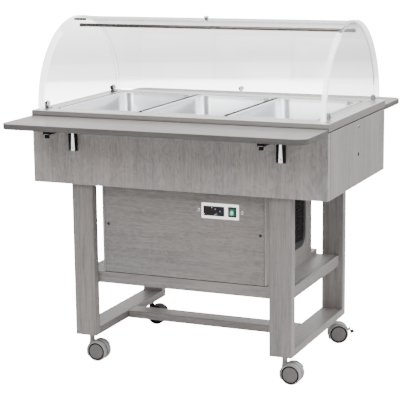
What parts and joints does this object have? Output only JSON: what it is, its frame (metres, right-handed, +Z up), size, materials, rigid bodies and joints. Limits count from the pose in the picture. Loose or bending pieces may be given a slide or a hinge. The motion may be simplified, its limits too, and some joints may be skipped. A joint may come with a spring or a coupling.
{
  "type": "mobile salad bar",
  "caption": "Wood-clad mobile salad bar: chilled well with lift-out pans under a clear roll-top dome, folding side shelves, cooling unit box, legs on braked casters",
  "frame": {"origin": "centre of the footprint, on the floor under the casters", "axes": "+X along the length to the right as seen by a customer, +Y from the customer's side towards the rear, +Z up"},
  "size_m": [1.124, 1.134, 1.2631],
  "materials": {
    "wood": "grey-stained wood grain, satin",
    "stainless": "satin stainless steel",
    "pan_steel": "bright stainless steel",
    "bright_steel": "bright plated steel",
    "black_rubber": "black rubber",
    "foam": "rigid insulation foam",
    "black_metal": "black paint",
    "coil_aluminium": "finned coil",
    "black_plastic": "black moulded plastic",
    "grey_plastic": "light grey moulded plastic",
    "white_plastic": "white plastic",
    "black_gloss": "glossy black plastic",
    "green_plastic": "translucent green plastic",
    "copper": "copper pipe",
    "clear_acrylic": "clear acrylic sheet",
    "wheel_rubber": "light grey rubber tread with grey disc covers"
  },
  "bodies": {
    "cabinet": {"long_panels": "wood", "side_panels": "wood", "base_board": "wood", "top_rim": "stainless", "rim_seal": "black_rubber", "well_tank": "stainless", "well_insulation": "foam", "pan_bars": "stainless", "legs": "wood", "side_rails": "wood", "cross_rails": "wood", "body_screws": "bright_steel", "box_carcass": "wood", "box_front": "wood", "vent_grilles": "black_metal", "compressor": "black_metal", "condenser": "coil_aluminium", "fan_shroud": "black_plastic", "pipework": "copper", "drain_pipe": "grey_plastic", "cable_gland": "black_plastic", "control_plate": "white_plastic", "thermostat": "black_gloss", "rocker_frame": "black_plastic", "dome_ends": "clear_acrylic", "dome_feet": "stainless", "thumb_screws": "bright_steel", "tie_rod": "bright_steel", "wall_channels": "bright_steel", "catch_strips": "bright_steel", "caster_sockets": "black_plastic"},
    "fan_rotor": {"fan": "black_plastic"},
    "set_button": {"set_key": "black_plastic"},
    "up_button": {"up_key": "black_plastic"},
    "down_button": {"down_key": "black_plastic"},
    "power_switch": {"rocker": "green_plastic"},
    "rear_cover": {"rear_shell": "clear_acrylic", "rear_knob": "bright_steel"},
    "front_cover": {"front_shell": "clear_acrylic", "front_knob": "bright_steel", "front_buffer": "black_rubber"},
    "left_food_pan": {"pan_left": "pan_steel"},
    "middle_food_pan": {"pan_middle": "pan_steel"},
    "right_food_pan": {"pan_right": "pan_steel"},
    "front_ledge": {"front_shelf": "wood", "front_arms": "black_metal"},
    "front_catch": {"front_release": "black_plastic"},
    "rear_ledge": {"rear_shelf": "wood", "rear_arms": "black_metal"},
    "rear_catch": {"rear_release": "black_plastic"},
    "front_left_fork": {"front_left_swivel": "grey_plastic"},
    "front_right_fork": {"front_right_swivel": "grey_plastic"},
    "rear_left_fork": {"rear_left_swivel": "black_plastic"},
    "rear_right_fork": {"rear_right_swivel": "grey_plastic"},
    "front_left_axle": {"front_left_wheels": "wheel_rubber"},
    "front_right_axle": {"front_right_wheels": "wheel_rubber"},
    "rear_left_axle": {"rear_left_wheels": "wheel_rubber"},
    "rear_right_axle": {"rear_right_wheels": "wheel_rubber"},
    "left_brake": {"left_pedal": "black_plastic"},
    "right_brake": {"right_pedal": "black_plastic"}
  },
  "joints": [
    {"name": "fan_spin", "type": "hinge", "parent": "cabinet", "child": "fan_rotor", "pos_m": [0.21, -0.033, 0.482], "axis": [1, 0, 0], "continuous": true},
    {"name": "set_key_press", "type": "slide", "parent": "cabinet", "child": "set_button", "axis": [0, 1, 0], "range_m": [0, 0.001], "stiffness_N_per_m": 400},
    {"name": "up_key_press", "type": "slide", "parent": "cabinet", "child": "up_button", "axis": [0, 1, 0], "range_m": [0, 0.001], "stiffness_N_per_m": 400},
    {"name": "down_key_press", "type": "slide", "parent": "cabinet", "child": "down_button", "axis": [0, 1, 0], "range_m": [0, 0.001], "stiffness_N_per_m": 400},
    {"name": "power_rocker", "type": "hinge", "parent": "cabinet", "child": "power_switch", "pos_m": [0.1905, -0.272, 0.6005], "axis": [1, 0, 0], "range_deg": [0, 14]},
    {"name": "rear_cover_roll", "type": "hinge", "parent": "cabinet", "child": "rear_cover", "pos_m": [0, 0, 0.938], "axis": [1, 0, 0], "range_deg": [0, 78]},
    {"name": "front_cover_roll", "type": "hinge", "parent": "cabinet", "child": "front_cover", "pos_m": [0, 0, 0.938], "axis": [1, 0, 0], "range_deg": [0, 78.6]},
    {"name": "left_pan_lift", "type": "slide", "parent": "cabinet", "child": "left_food_pan", "axis": [0, 0, 1], "range_m": [0, 0.14]},
    {"name": "middle_pan_lift", "type": "slide", "parent": "cabinet", "child": "middle_food_pan", "axis": [0, 0, 1], "range_m": [0, 0.14]},
    {"name": "right_pan_lift", "type": "slide", "parent": "cabinet", "child": "right_food_pan", "axis": [0, 0, 1], "range_m": [0, 0.14]},
    {"name": "front_shelf_fold", "type": "hinge", "parent": "cabinet", "child": "front_ledge", "pos_m": [0, -0.3473, 0.889], "axis": [1, 0, 0], "range_deg": [0, 86]},
    {"name": "front_catch_pull", "type": "hinge", "parent": "front_ledge", "child": "front_catch", "pos_m": [0, -0.524, 0.889], "axis": [1, 0, 0], "range_deg": [-20, 0], "stiffness_Nm_per_rad": 0.6, "springref_deg": 5.73},
    {"name": "rear_shelf_fold", "type": "hinge", "parent": "cabinet", "child": "rear_ledge", "pos_m": [0, 0.3473, 0.889], "axis": [1, 0, 0], "range_deg": [-86, 0]},
    {"name": "rear_catch_pull", "type": "hinge", "parent": "rear_ledge", "child": "rear_catch", "pos_m": [0, 0.524, 0.889], "axis": [1, 0, 0], "range_deg": [0, 20], "stiffness_Nm_per_rad": 0.6, "springref_deg": -5.73},
    {"name": "front_left_swivel_turn", "type": "hinge", "parent": "cabinet", "child": "front_left_fork", "pos_m": [-0.38, -0.26, 0.1], "axis": [0, 0, 1], "continuous": true},
    {"name": "front_right_swivel_turn", "type": "hinge", "parent": "cabinet", "child": "front_right_fork", "pos_m": [0.38, -0.26, 0.1], "axis": [0, 0, 1], "continuous": true},
    {"name": "rear_left_swivel_turn", "type": "hinge", "parent": "cabinet", "child": "rear_left_fork", "pos_m": [-0.38, 0.26, 0.1], "axis": [0, 0, 1], "continuous": true},
    {"name": "rear_right_swivel_turn", "type": "hinge", "parent": "cabinet", "child": "rear_right_fork", "pos_m": [0.38, 0.26, 0.1], "axis": [0, 0, 1], "continuous": true},
    {"name": "front_left_wheel_roll", "type": "hinge", "parent": "front_left_fork", "child": "front_left_axle", "pos_m": [-0.352, -0.26, 0.0375], "axis": [0, 1, 0], "continuous": true},
    {"name": "front_right_wheel_roll", "type": "hinge", "parent": "front_right_fork", "child": "front_right_axle", "pos_m": [0.408, -0.26, 0.0375], "axis": [0, 1, 0], "continuous": true},
    {"name": "rear_left_wheel_roll", "type": "hinge", "parent": "rear_left_fork", "child": "rear_left_axle", "pos_m": [-0.352, 0.26, 0.0375], "axis": [0, 1, 0], "continuous": true},
    {"name": "rear_right_wheel_roll", "type": "hinge", "parent": "rear_right_fork", "child": "rear_right_axle", "pos_m": [0.40587, 0.27071, 0.0375], "axis": [-0.3827, 0.9239, 0], "continuous": true},
    {"name": "left_brake_press", "type": "hinge", "parent": "rear_left_fork", "child": "left_brake", "pos_m": [-0.321, 0.26, 0.0488], "axis": [0, 1, 0], "range_deg": [0, 12]},
    {"name": "right_brake_press", "type": "hinge", "parent": "rear_right_fork", "child": "right_brake", "pos_m": [0.43452, 0.28258, 0.04879], "axis": [-0.3827, 0.9239, 0], "range_deg": [0, 12]}
  ]
}
